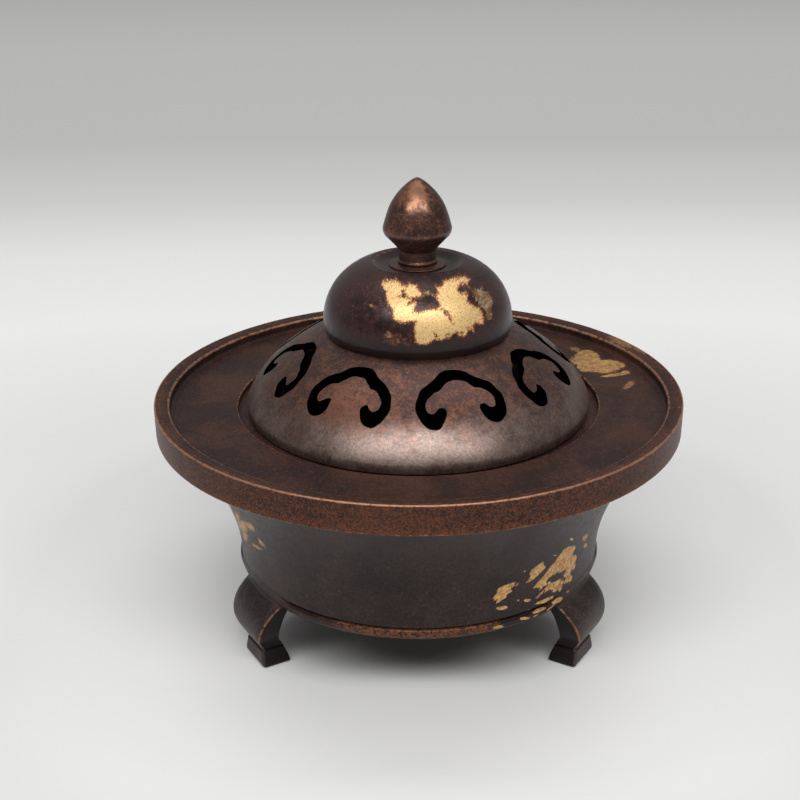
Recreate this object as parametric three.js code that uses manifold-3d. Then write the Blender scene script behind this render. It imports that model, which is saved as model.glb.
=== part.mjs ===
// Copper incense burner with a wide tray rim, a pierced domed lid and three cabriole legs.
// Millimetres, +Z up. The origin is on the ground at the centre of the feet, and the front faces -Y.
// Neighbouring pieces keep a joint gap, which stands for the solder or contact line between them.

import * as THREE from 'three';
import { mergeVertices } from 'three/addons/utils/BufferGeometryUtils.js';
import Module from 'manifold-3d';

const manifoldLibrary = await Module();
manifoldLibrary.setup();

// Joint gap, and steps round a turned piece
const GAP = 0.3;
const AROUND = 60;
const AROUND_SMALL = 32;

// Tray rim
const RIM_RADIUS = 55;
const RIM_TOP = 53.6;
const RIM_HEIGHT = 5.9;
const LIP_WIDTH = 3.2;
const LIP_BEVEL = 0.35;
const TRAY_DEPTH = 2.1;
const TRAY_FILLET = 0.7;
const SEAT_RADIUS = 37.8;
const SEAT_DEPTH = 1.4;
const MOUTH_RADIUS = 33;

// Base band under the bowl
const BAND_BOTTOM = 16.3;
const BAND_HEIGHT = 2.2;
const BAND_RADIUS = 39;
const BAND_WIDTH = 4.2;
const BAND_TAPER = 0.3;
const BAND_BEVEL = 0.4;

// Bowl
const BOWL_FOOT_RADIUS = 38.6;
const BOWL_TOP_RADIUS = 50.6;
const BOWL_WALL = 2.2;
const BOWL_FLOOR = 2.2;
const BOWL_CORNER = 1.5;

// Legs, as degrees round the bowl from the front
const LEG_AZIMUTHS = { leg_front_left: -60, leg_front_right: 60, leg_back: 180 };

// Lid dome: a flattish cone with a rounded shoulder, on an upright foot
const DOME_RADIUS = 35.5;
const DOME_FOOT_HEIGHT = 2.3;
const DOME_HEIGHT = 17.7;
const DOME_RISE_POWER = 1.52;
const DOME_ROUND_POWER = 2.185;
const DOME_WALL = 1.8;
const DOME_EYE_RADIUS = 15.5;
const LID_RING_WALL = 1.3;
const LID_RING_DROP = 3.4;
const SLOT_COUNT = 8;
const SLOT_FIRST_AZIMUTH = 16.9;
const SLOT_CENTRE_RADIUS = 27;
const SLOT_REACH = 5;

// Lid cap: a squarish dome, cut off near its top and dished there
const CAP_RADIUS = 19.5;
const CAP_WAIST = 69;
const CAP_RISE = 14;
const CAP_CUT = 0.955;
const CAP_RISE_POWER = 2.12;
const CAP_ROUND_POWER = 2.74;
const CAP_WALL = 1.8;
const CAP_TUCK = 0.5;
const CAP_DISH = 80.3;
const CAP_DISH_RADIUS = 6.1;
const CAP_DISH_LIP = 1.3;
const CAP_INNER_TOP = 78;

// Knob and what holds it
const COLLAR_RADIUS = 5.2;
const COLLAR_HEIGHT = 0.8;
const COLLAR_BEVEL = 0.2;
const STUD_RADIUS = 1.5;
const STUD_TOP = 87.5;
const STUD_BEVEL = 0.3;
const STUD_TAIL = 1.2;
const WASHER_RADIUS = 4.5;
const WASHER_HEIGHT = 0.8;
const NUT_ACROSS_FLATS = 5.5;
const NUT_HEIGHT = 2.4;

// Fittings in the bowl
const MAT_RADIUS = 32;
const MAT_HEIGHT = 3;
const STAND_RADIUS = 9;
const STAND_HEIGHT = 1.6;
const STAND_BEVEL = 0.4;
const STAND_PIN_RADIUS = 1.6;
const STAND_PIN_HEIGHT = 6;
const STAND_HOLE_RADIUS = 0.8;
const STAND_FILLET = 0.6;

// Levels and radii worked out from the dimensions above
const rimBottom = RIM_TOP - RIM_HEIGHT;
const trayFloor = RIM_TOP - TRAY_DEPTH;
const seatLevel = trayFloor - SEAT_DEPTH;
const bandTop = BAND_BOTTOM + BAND_HEIGHT;
const bowlBottom = bandTop + GAP;
const bowlTop = rimBottom - GAP;
const bowlFloor = bowlBottom + BOWL_FLOOR;
const legTop = BAND_BOTTOM - GAP;
const domeFoot = seatLevel + GAP;
const knobFoot = CAP_DISH + COLLAR_HEIGHT + 2 * GAP;
const washerTop = CAP_DISH - CAP_WALL - GAP;
const nutTop = washerTop - WASHER_HEIGHT - GAP;
const studBore = STUD_RADIUS + GAP;

// Materials
function metal(colour, roughness, metalness) {
  return new THREE.MeshStandardMaterial({ color: colour, roughness, metalness });
}

const burner = new THREE.Group();

// Merges shared corners, drops empty triangles and turns the faces outwards.
function closedGeometry(geometry) {
  const bare = geometry.index ? geometry.clone() : geometry;
  bare.deleteAttribute('normal');
  bare.deleteAttribute('uv');
  const merged = mergeVertices(bare, 1e-4);
  const corners = merged.attributes.position;
  const index = merged.index.array;
  const kept = [];
  for (let i = 0; i < index.length; i += 3) {
    const [a, b, c] = [index[i], index[i + 1], index[i + 2]];
    if (a !== b && b !== c && c !== a) {
      kept.push(a, b, c);
    }
  }
  const [p, q, r] = [new THREE.Vector3(), new THREE.Vector3(), new THREE.Vector3()];
  let volume = 0;
  for (let i = 0; i < kept.length; i += 3) {
    p.fromBufferAttribute(corners, kept[i]);
    q.fromBufferAttribute(corners, kept[i + 1]);
    r.fromBufferAttribute(corners, kept[i + 2]);
    volume += p.dot(q.cross(r));
  }
  if (volume < 0) {
    kept.reverse();
  }
  const closed = new THREE.BufferGeometry();
  closed.setAttribute('position', corners);
  closed.setIndex(kept);
  return closed;
}

function toSolid(geometry) {
  const closed = closedGeometry(geometry);
  const mesh = new manifoldLibrary.Mesh({
    numProp: 3,
    vertProperties: new Float32Array(closed.attributes.position.array),
    triVerts: new Uint32Array(closed.index.array),
  });
  return new manifoldLibrary.Manifold(mesh);
}

function toGeometry(solid) {
  const mesh = solid.getMesh();
  const geometry = new THREE.BufferGeometry();
  geometry.setAttribute('position', new THREE.BufferAttribute(new Float32Array(mesh.vertProperties), 3));
  geometry.setIndex(Array.from(mesh.triVerts));
  return geometry;
}

function addPiece(name, geometry, material) {
  const shown = geometry.toNonIndexed();
  shown.computeVertexNormals();
  const piece = new THREE.Mesh(shown, material);
  piece.name = name;
  burner.add(piece);
  return piece;
}

// A solid of revolution about Z from [radius, height] pairs.
function revolve(outline, around = AROUND) {
  const points = outline.map(([radius, height]) => new THREE.Vector2(radius, height));
  points.push(points[0].clone());
  const lathe = new THREE.LatheGeometry(points, around);
  lathe.rotateX(Math.PI / 2);
  return closedGeometry(lathe);
}

// Evenly spaced samples of a function over 0 to 1
function sample(count, place) {
  return Array.from({ length: count + 1 }, (_, i) => place(i / count));
}

// A smooth curve through [x, y] pairs, and a plain run of corners
function smooth(pairs, steps) {
  const curve = new THREE.SplineCurve(pairs.map(([x, y]) => new THREE.Vector2(x, y)));
  return curve.getPoints(steps);
}

function plain(pairs) {
  return pairs.map(([x, y]) => new THREE.Vector2(x, y));
}

// Bowl: the wall flares outwards as a parabola from the base band to the tray
function bowlWall(height) {
  const t = (height - bowlBottom) / (bowlTop - bowlBottom);
  return BOWL_FOOT_RADIUS + (BOWL_TOP_RADIUS - BOWL_FOOT_RADIUS) * t * t;
}

function makeBowl() {
  const outer = sample(10, (t) => {
    const height = bowlBottom + (bowlTop - bowlBottom) * t;
    return [bowlWall(height), height];
  });
  const inner = sample(10, (t) => {
    const height = bowlTop + (bowlFloor + BOWL_CORNER - bowlTop) * t;
    return [bowlWall(height) - BOWL_WALL, height];
  });
  const floorCorner = [bowlWall(bowlFloor) - BOWL_WALL - BOWL_CORNER, bowlFloor];
  return revolve([[0, bowlBottom], ...outer, ...inner, floorCorner, [0, bowlFloor]]);
}

// Base band: the plain ring under the bowl, worn to bare copper
function makeBaseBand() {
  const inner = BAND_RADIUS - BAND_WIDTH;
  const lower = BAND_RADIUS - BAND_TAPER;
  return revolve([
    [inner, BAND_BOTTOM],
    [lower - BAND_BEVEL, BAND_BOTTOM],
    [lower, BAND_BOTTOM + BAND_BEVEL],
    [BAND_RADIUS, bandTop - BAND_BEVEL],
    [BAND_RADIUS - BAND_BEVEL, bandTop],
    [inner, bandTop],
  ]);
}

// Tray rim: a flat tray with an upright lip, and a sunk seat round the mouth for the lid
function makeRimTray() {
  const lipInner = RIM_RADIUS - LIP_WIDTH;
  return revolve([
    [MOUTH_RADIUS, rimBottom],
    [RIM_RADIUS - LIP_BEVEL, rimBottom],
    [RIM_RADIUS, rimBottom + LIP_BEVEL],
    [RIM_RADIUS, RIM_TOP - LIP_BEVEL],
    [RIM_RADIUS - LIP_BEVEL, RIM_TOP],
    [lipInner + LIP_BEVEL, RIM_TOP],
    [lipInner, RIM_TOP - LIP_BEVEL],
    [lipInner, trayFloor + TRAY_FILLET],
    [lipInner - TRAY_FILLET, trayFloor],
    [SEAT_RADIUS + LIP_BEVEL, trayFloor],
    [SEAT_RADIUS, trayFloor - LIP_BEVEL],
    [SEAT_RADIUS, seatLevel],
    [MOUTH_RADIUS, seatLevel],
  ], AROUND + 4);
}

// Leg: a cabriole leg on a small square pad, made as its side profile crossed with its front profile.
// The side profile lists [distance from the axis, height], and the front profile [half width, height].
const LEG_OUTER = [
  [38.3, legTop], [40.2, 14.2], [41.5, 12.2], [42.0, 9.8], [41.7, 7.6], [40.7, 5.6], [39.8, 4.2],
];
const LEG_PAD_OUTER = [[40.1, 3.4], [40.2, 0.6], [39.8, 0]];
const LEG_INNER = [
  [33.8, 0], [34.4, 2.2], [35.3, 4.4], [36.4, 6.4], [37.0, 8.6], [36.8, 11.0], [36.0, 13.6], [34.7, legTop],
];
const LEG_HALF_WIDTH = [
  [8.1, legTop], [7.9, 14], [7.5, 12], [7.0, 10], [6.3, 8.4], [5.2, 6.9], [4.2, 5.5], [3.6, 4.2],
];
const LEG_PAD_HALF_WIDTH = [[3.95, 3.4], [4.6, 0.8], [4.3, 0]];
const LEG_CROSSING = 24;

function extrudedOutline(points) {
  const outline = new THREE.Shape(points);
  const block = new THREE.ExtrudeGeometry(outline, { depth: LEG_CROSSING, bevelEnabled: false });
  block.translate(0, 0, -LEG_CROSSING / 2);
  block.rotateX(Math.PI / 2);
  return block;
}

function makeLeg(azimuth) {
  const side = extrudedOutline([...smooth(LEG_OUTER, 14), ...plain(LEG_PAD_OUTER), ...smooth(LEG_INNER, 12)]);

  const right = [...smooth(LEG_HALF_WIDTH, 12), ...plain(LEG_PAD_HALF_WIDTH)];
  const left = right.map((point) => new THREE.Vector2(-point.x, point.y)).reverse();
  const front = extrudedOutline([...right, ...left]);
  front.rotateZ(Math.PI / 2);
  front.translate((LEG_OUTER[0][0] + LEG_INNER[0][0]) / 2, 0, 0);

  const leg = toGeometry(toSolid(side).intersect(toSolid(front)));
  leg.rotateZ(THREE.MathUtils.degToRad(azimuth - 90));
  return leg;
}

// Lid dome: a shell that is open at the top under the cap
function domeHeight(radius, shrink) {
  const across = radius / (DOME_RADIUS - shrink);
  const rise = Math.max(0, 1 - across ** DOME_ROUND_POWER) ** (1 / DOME_RISE_POWER);
  return domeFoot + DOME_FOOT_HEIGHT + (DOME_HEIGHT - shrink) * rise;
}

function domeArc(shrink, steps) {
  const end = Math.acos(DOME_EYE_RADIUS / (DOME_RADIUS - shrink));
  return sample(steps, (t) => {
    const radius = (DOME_RADIUS - shrink) * Math.cos(end * t);
    return [radius, domeHeight(radius, shrink)];
  });
}

// Ruyi cloud slot: a cloud band with a centre lobe, two side lobes and curled ends, in the plane that touches
// the dome there. The edge of the right-hand half is listed as [across, up the slope], from the top of the
// outer edge, round the curl, to the top of the inner edge.
const SLOT_EDGE = [
  [0, 6.15], [1.4, 5.95], [2.7, 5.3], [3.6, 4.5], [4.4, 3.85], [5.8, 3.1], [7.0, 2.2], [7.9, 1.0],
  [8.6, -0.5], [8.85, -2.2], [8.6, -4.1], [7.8, -5.5], [6.8, -6.3], [5.5, -6.45], [4.4, -5.7], [3.7, -4.6],
  [3.4, -3.5], [3.6, -2.8], [4.2, -2.4], [4.9, -2.8], [5.6, -3.3], [6.4, -3.3], [6.9, -2.5], [6.85, -1.2],
  [6.3, -0.2], [5.5, 0.6], [4.6, 1.05], [3.6, 1.3], [3.0, 1.85], [2.2, 2.65], [1.2, 3.25], [0, 3.4],
];

function slotShape() {
  const rightHalf = SLOT_EDGE.map(([x, y]) => new THREE.Vector2(x, y));
  const leftHalf = SLOT_EDGE.slice(1, -1).reverse().map(([x, y]) => new THREE.Vector2(-x, y));
  return new THREE.Shape([...rightHalf, ...leftHalf]);
}

function slotCutter(azimuth) {
  const cutter = new THREE.ExtrudeGeometry(slotShape(), { depth: 2 * SLOT_REACH, bevelEnabled: false });
  cutter.translate(0, 0, -SLOT_REACH);
  const fall = domeHeight(SLOT_CENTRE_RADIUS - 0.5, 0) - domeHeight(SLOT_CENTRE_RADIUS + 0.5, 0);
  cutter.rotateX(Math.atan(fall));
  cutter.translate(0, -SLOT_CENTRE_RADIUS, domeHeight(SLOT_CENTRE_RADIUS, 0));
  cutter.rotateZ(THREE.MathUtils.degToRad(azimuth));
  return toSolid(cutter);
}

function makeLidDome() {
  const outer = [[DOME_RADIUS, domeFoot], ...domeArc(0, 10)];
  const inner = [...domeArc(DOME_WALL, 8).reverse(), [DOME_RADIUS - DOME_WALL, domeFoot]];
  let dome = toSolid(revolve([...outer, ...inner]));
  for (let i = 0; i < SLOT_COUNT; i += 1) {
    dome = dome.subtract(slotCutter(SLOT_FIRST_AZIMUTH + (360 / SLOT_COUNT) * i));
  }
  return toGeometry(dome);
}

// Lid ring: the spigot under the dome that drops into the mouth and keeps the lid central
function makeLidRing() {
  const outer = MOUTH_RADIUS - GAP;
  return revolve([
    [outer - LID_RING_WALL, seatLevel - LID_RING_DROP],
    [outer, seatLevel - LID_RING_DROP],
    [outer, seatLevel],
    [outer - LID_RING_WALL, seatLevel],
  ]);
}

// Lid cap: the small upper dome, dished at the top round the knob
function capOutline(shrink) {
  const radius = CAP_RADIUS - shrink;
  const rise = CAP_RISE - shrink;
  return sample(10, (t) => {
    const u = CAP_CUT * Math.sin((t * Math.PI) / 2);
    return [radius * (1 - u ** CAP_RISE_POWER) ** (1 / CAP_ROUND_POWER), CAP_WAIST + rise * u];
  });
}

function makeLidCap() {
  const edge = CAP_RADIUS - CAP_TUCK;
  const innerEdge = edge - CAP_WALL;
  const innerTop = CAP_DISH - CAP_WALL;
  const outer = [
    [edge, domeHeight(edge, 0) + GAP],
    ...capOutline(0),
    [CAP_DISH_RADIUS + CAP_DISH_LIP / 2, CAP_DISH + CAP_DISH_LIP],
    [CAP_DISH_RADIUS, CAP_DISH],
    [studBore, CAP_DISH],
  ];
  const inner = [
    [studBore, innerTop],
    [CAP_DISH_RADIUS, innerTop],
    ...capOutline(CAP_WALL).filter(([, height]) => height < CAP_INNER_TOP).reverse(),
    [innerEdge, domeHeight(innerEdge, 0) + GAP],
  ];
  return revolve([...outer, ...inner], AROUND - 12);
}

// Knob: a lotus bud on a slim neck, screwed down through the cap by a stud, washer and nut
function makeKnobCollar() {
  const bottom = CAP_DISH + GAP;
  const top = bottom + COLLAR_HEIGHT;
  return revolve([
    [studBore, bottom],
    [COLLAR_RADIUS, bottom],
    [COLLAR_RADIUS, top - COLLAR_BEVEL],
    [COLLAR_RADIUS - COLLAR_BEVEL, top],
    [studBore, top],
  ], AROUND_SMALL);
}

// The knob's neck and bud, as [radius, height over the knob's foot]
const KNOB_NECK = [[3.95, 0], [3.75, 0.5], [3.75, 2.6]];
const KNOB_SHOULDER = [[4.2, 3.4], [6.4, 5.6], [6.9, 6.3], [7.0, 6.9]];
const KNOB_BUD = [[6.9, 7.5], [6.2, 9.9], [5.3, 12.1], [3.8, 14.3], [2.1, 16.0], [0.9, 16.9], [0, 17.3]];

function makeKnob() {
  const bud = smooth(KNOB_BUD, 10).map(({ x, y }) => [Math.max(0, x), y]);
  const outside = [...KNOB_NECK, ...KNOB_SHOULDER, ...bud];
  return revolve([
    [studBore, knobFoot],
    ...outside.map(([radius, height]) => [radius, knobFoot + height]),
    [0, STUD_TOP + GAP],
    [studBore, STUD_TOP + GAP],
  ], AROUND_SMALL);
}

function makeKnobStud() {
  const bottom = nutTop - NUT_HEIGHT - STUD_TAIL;
  return revolve([
    [0, bottom],
    [STUD_RADIUS - STUD_BEVEL, bottom],
    [STUD_RADIUS, bottom + STUD_BEVEL],
    [STUD_RADIUS, STUD_TOP - STUD_BEVEL],
    [STUD_RADIUS - STUD_BEVEL, STUD_TOP],
    [0, STUD_TOP],
  ], AROUND_SMALL);
}

function makeKnobWasher() {
  return revolve([
    [studBore, washerTop - WASHER_HEIGHT],
    [WASHER_RADIUS, washerTop - WASHER_HEIGHT],
    [WASHER_RADIUS, washerTop],
    [studBore, washerTop],
  ], AROUND_SMALL);
}

function makeKnobNut() {
  const corner = NUT_ACROSS_FLATS / 2 / Math.cos(Math.PI / 6);
  const hexagon = new THREE.Shape(sample(5, (t) => {
    const angle = (t * 5 * Math.PI) / 3;
    return new THREE.Vector2(corner * Math.cos(angle), corner * Math.sin(angle));
  }));
  const bore = new THREE.Path();
  bore.absarc(0, 0, studBore, 0, 2 * Math.PI, true);
  hexagon.holes.push(bore);
  const options = { depth: NUT_HEIGHT, bevelEnabled: false, curveSegments: 12 };
  const nut = new THREE.ExtrudeGeometry(hexagon, options);
  nut.translate(0, 0, nutTop - NUT_HEIGHT);
  return closedGeometry(nut);
}

// Inside the bowl: a heat-proof mat, and a small stand that holds the incense
function makeFireMat() {
  const bottom = bowlFloor + GAP;
  return revolve([
    [0, bottom],
    [MAT_RADIUS, bottom],
    [MAT_RADIUS, bottom + MAT_HEIGHT],
    [0, bottom + MAT_HEIGHT],
  ], AROUND_SMALL);
}

function makeIncenseStand() {
  const bottom = bowlFloor + MAT_HEIGHT + 2 * GAP;
  const top = bottom + STAND_HEIGHT;
  const pinTop = top + STAND_PIN_HEIGHT;
  const holeBottom = top + 1;
  return revolve([
    [0, bottom],
    [STAND_RADIUS, bottom],
    [STAND_RADIUS, top - STAND_BEVEL],
    [STAND_RADIUS - STAND_BEVEL, top],
    [STAND_PIN_RADIUS + STAND_FILLET, top],
    [STAND_PIN_RADIUS, top + STAND_FILLET],
    [STAND_PIN_RADIUS, pinTop],
    [STAND_HOLE_RADIUS, pinTop],
    [STAND_HOLE_RADIUS, holeBottom],
    [0, holeBottom],
  ], AROUND_SMALL);
}

// Assembly
addPiece('bowl', makeBowl(), metal(0x3a3130, 0.42, 0.85));
addPiece('base_band', makeBaseBand(), metal(0x6b4030, 0.45, 0.9));
addPiece('rim_tray', makeRimTray(), metal(0x4a332b, 0.38, 0.9));
for (const [name, azimuth] of Object.entries(LEG_AZIMUTHS)) {
  addPiece(name, makeLeg(azimuth), metal(0x43302a, 0.42, 0.85));
}
addPiece('lid_dome', makeLidDome(), metal(0x54372c, 0.36, 0.9));
addPiece('lid_ring', makeLidRing(), metal(0x4a3028, 0.5, 0.85));
addPiece('lid_cap', makeLidCap(), metal(0x4a2e26, 0.34, 0.9));
addPiece('knob_collar', makeKnobCollar(), metal(0x3a2620, 0.4, 0.85));
addPiece('knob', makeKnob(), metal(0x5a3429, 0.34, 0.9));
addPiece('knob_stud', makeKnobStud(), metal(0x8f8f92, 0.4, 1));
addPiece('knob_washer', makeKnobWasher(), metal(0xa98448, 0.4, 1));
addPiece('knob_nut', makeKnobNut(), metal(0xa98448, 0.35, 1));
addPiece('fire_mat', makeFireMat(), metal(0xd8d4c8, 0.95, 0));
addPiece('incense_stand', makeIncenseStand(), metal(0xb8893f, 0.35, 1));

export default burner;
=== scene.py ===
"""Looks of the copper incense burner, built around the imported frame.

Metres, +Z up, the front towards -Y. Shapes are listed in millimetres, as in the CAD.
"""

import math
import random

import bpy
from mathutils import Matrix, Vector, geometry


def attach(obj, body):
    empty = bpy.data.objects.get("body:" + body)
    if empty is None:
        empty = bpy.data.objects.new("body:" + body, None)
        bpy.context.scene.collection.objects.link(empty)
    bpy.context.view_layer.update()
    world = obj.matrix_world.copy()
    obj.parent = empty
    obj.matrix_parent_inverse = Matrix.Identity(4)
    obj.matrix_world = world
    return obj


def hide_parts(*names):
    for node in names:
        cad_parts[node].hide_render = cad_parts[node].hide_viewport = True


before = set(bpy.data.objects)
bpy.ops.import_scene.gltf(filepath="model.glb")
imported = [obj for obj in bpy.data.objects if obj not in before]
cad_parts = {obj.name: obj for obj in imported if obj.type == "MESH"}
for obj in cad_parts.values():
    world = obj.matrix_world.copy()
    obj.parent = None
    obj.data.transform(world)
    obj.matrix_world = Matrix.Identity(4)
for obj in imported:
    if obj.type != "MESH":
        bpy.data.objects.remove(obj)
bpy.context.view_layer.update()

MM = 0.001
MM_IN_METRE = 1000

# Camera fitted to the tray rim
CAMERA_PLACE = Vector((0.0, -0.2793, 0.1673))
CAMERA_PITCH = math.radians(22.587)
CAMERA_YAW = math.radians(0.781)
CAMERA_ROLL = math.radians(-0.532)
CAMERA_LENS_MM = 64.43
SENSOR_MM = 36.0

# Sizes shared with the CAD, in millimetres
BOWL_BOTTOM = 18.8
BOWL_TOP = 47.4
BOWL_FOOT_RADIUS = 38.6
BOWL_FLARE = 12.0
BOWL_WALL = 2.2
BOWL_FLOOR = 21.0
DOME_RADIUS = 35.5
DOME_HEIGHT = 17.7
DOME_SHOULDER = 52.7
DOME_RISE_POWER = 1.52
DOME_ROUND_POWER = 2.185
DOME_FOOT = 50.4
DOME_WALL = 1.8
DOME_EYE = 15.5
CAP_RADIUS = 19.5
CAP_WAIST = 69.0
CAP_RISE = 14.0
CAP_RISE_POWER = 2.12
CAP_ROUND_POWER = 2.74
CAP_WALL = 1.8
KNOB_FOOT = 81.7
LEG_AZIMUTHS = {"leg_front_left": -60, "leg_front_right": 60, "leg_back": 180}
SLOT_COUNT = 8
SLOT_FIRST_AZIMUTH = 16.9
SLOT_CENTRE_RADIUS = 27.0

# How far from the edge of an outline depths are measured, and how near its points have to be
LEAF_REACH = 1.5
LEAF_NEAR = 6.0


# Meshes

def new_object(name, data):
    thing = bpy.data.objects.new(name, data)
    bpy.context.scene.collection.objects.link(thing)
    return thing


def new_piece(name, corners, faces, fields, normals=None):
    """A mesh object from corners in millimetres, which keeps named values at its corners."""
    mesh = bpy.data.meshes.new(name)
    mesh.from_pydata([(x * MM, y * MM, z * MM) for x, y, z in corners], [], faces)
    mesh.shade_smooth()
    for kind, values in fields.items():
        attribute = mesh.attributes.new(kind, "FLOAT", "POINT")
        attribute.data.foreach_set("value", values)
    if normals is not None:
        mesh.normals_split_custom_set_from_vertices(normals)
    return new_object(name, mesh)


def finish_piece(piece, body, material, node):
    piece.data.materials.append(material)
    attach(piece, body)
    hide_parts(node)


def rounded(corners, steps=5, closed=True):
    """Rounds the corners of an outline.

    A corner is (radius, height, fillet, wear); fillet 0 keeps the point on a smooth curve.
    Gives points as (radius, height, (normal radius, normal height), wear).
    """
    count = len(corners)
    result = []
    for i, corner in enumerate(corners):
        x, y, fillet, wear = (*corner, 0, 0)[:4]
        here = Vector((x, y))
        into = here - Vector(corners[i - 1][:2]) if closed or i > 0 else None
        out = Vector(corners[(i + 1) % count][:2]) - here if closed or i < count - 1 else None
        if into is None or out is None:
            along = (out or into).normalized()
            result.append((x, y, (along.y, -along.x), wear))
            continue
        reach = min(fillet, 0.48 * into.length, 0.48 * out.length)
        into.normalize()
        out.normalize()
        if fillet <= 0:
            along = (into + out).normalized()
            result.append((x, y, (along.y, -along.x), wear))
            continue
        start = here - into * reach
        end = here + out * reach
        for k in range(steps + 1):
            t = k / steps
            point = start * (1 - t) ** 2 + here * 2 * t * (1 - t) + end * t ** 2
            along = (into * (1 - t) + out * t).normalized()
            edge = wear * math.sin(math.pi * t) ** 0.5 if 0 < k < steps else 0
            result.append((point.x, point.y, (along.y, -along.x), edge))
    return result


def bridged(rings, flip=False, loop=False):
    """Faces between each ring of corner numbers and the next; corners that coincide are joined."""
    faces = []
    for a, b in zip(rings, rings[1:] + rings[:1] if loop else rings[1:]):
        for i in range(len(a)):
            n = (i + 1) % len(a)
            face = [a[i], b[i], b[n], a[n]] if flip else [a[i], a[n], b[n], b[i]]
            face = [v for k, v in enumerate(face) if v not in face[:k]]
            if len(face) > 2:
                faces.append(face)
    return faces


def closer_angles(around, start, end, closer):
    """Angles round a turned piece, more closely spaced from start to end, in degrees from the front."""
    step = 360 / around
    inner = round((end - start) / step * closer)
    outer = round((360 - end + start) / step)
    degrees = [start + (end - start) * i / inner for i in range(inner)]
    degrees += [end + (360 - end + start) * i / outer for i in range(outer)]
    return [math.radians(a - 90) for a in degrees]


def turned(name, outline, around=192, closed=True, angles=None, leaf=None):
    """A turned piece from an outline of (radius, height, normal, wear), outer side upwards."""
    angles = angles or [2 * math.pi * j / around for j in range(around)]
    corners, normals, wears, rings = [], [], [], []
    for radius, height, normal, wear in outline:
        if radius < 1e-6:
            rings.append([len(corners)] * len(angles))
            corners.append((0, 0, height))
            normals.append((0, 0, 1 if normal[1] >= 0 else -1))
            wears.append(wear)
            continue
        rings.append([len(corners) + j for j in range(len(angles))])
        for angle in angles:
            corners.append((radius * math.cos(angle), radius * math.sin(angle), height))
            normals.append((normal[0] * math.cos(angle), normal[0] * math.sin(angle), normal[1]))
            wears.append(wear)
    fields = {kind: [shape(*corner) for corner in corners] for kind, shape in (leaf or {}).items()}
    return new_piece(name, corners, bridged(rings, loop=closed), {"wear": wears, **fields}, normals)


def inside_ring(x, y, ring):
    odd = False
    for (x0, y0), (x1, y1) in zip(ring, ring[-1:] + ring[:-1]):
        if (y0 > y) != (y1 > y) and x < (x1 - x0) * (y - y0) / (y1 - y0) + x0:
            odd = not odd
    return odd


def depth_inside(x, y, ring):
    """Distance from the edge of an outline, positive inside it."""
    least = LEAF_REACH ** 2
    for (x0, y0), (x1, y1) in zip(ring, ring[-1:] + ring[:-1]):
        if min(abs(x0 - x), abs(x1 - x)) > LEAF_NEAR or min(abs(y0 - y), abs(y1 - y)) > LEAF_NEAR:
            continue
        dx, dy = x1 - x0, y1 - y0
        t = min(1.0, max(0.0, ((x - x0) * dx + (y - y0) * dy) / (dx * dx + dy * dy)))
        least = min(least, (x0 + dx * t - x) ** 2 + (y0 + dy * t - y) ** 2)
    return math.sqrt(least) if inside_ring(x, y, ring) else -math.sqrt(least)


def leaf_depth(x, y, leaves, bare=()):
    """Distance from the edge of the leaves and of the bare places in them, positive on the gold."""
    depth = max(depth_inside(x, y, ring) for ring in leaves)
    return min([depth, *(-depth_inside(x, y, ring) for ring in bare)]) if depth > -0.5 else depth


def spline(points, steps):
    """A smooth curve through points."""
    result = []
    last = len(points) - 1
    for i in range(last):
        p0, p1, p2, p3 = (Vector(points[max(0, min(last, i + d))][:2]) for d in (-1, 0, 1, 2))
        for k in range(steps):
            t = k / steps
            point = 0.5 * (2 * p1 + (p2 - p0) * t + (2 * p0 - 5 * p1 + 4 * p2 - p3) * t ** 2
                           + (3 * p1 - p0 - 3 * p2 + p3) * t ** 3)
            result.append((point.x, point.y))
    result.append(tuple(points[-1][:2]))
    return result


def reading(points, height):
    """The value of a smooth curve of [value, height] pairs, listed downwards, at a height."""
    if height >= points[0][1]:
        return points[0][0]
    for i in range(len(points) - 1):
        (a, high), (b, low) = points[i], points[i + 1]
        if height >= low:
            before = points[max(0, i - 1)]
            after = points[min(len(points) - 1, i + 2)]
            step = low - high
            t = (height - high) / step
            slope_a = (b - before[0]) / (low - before[1]) * step
            slope_b = (after[0] - a) / (after[1] - high) * step
            return ((2 * t ** 3 - 3 * t ** 2 + 1) * a + (t ** 3 - 2 * t ** 2 + t) * slope_a
                    + (-2 * t ** 3 + 3 * t ** 2) * b + (t ** 3 - t ** 2) * slope_b)
    return points[-1][0]


def ease(value, low, high):
    t = min(1.0, max(0.0, (value - low) / (high - low)))
    return t * t * (3 - 2 * t)


# Materials

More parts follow.
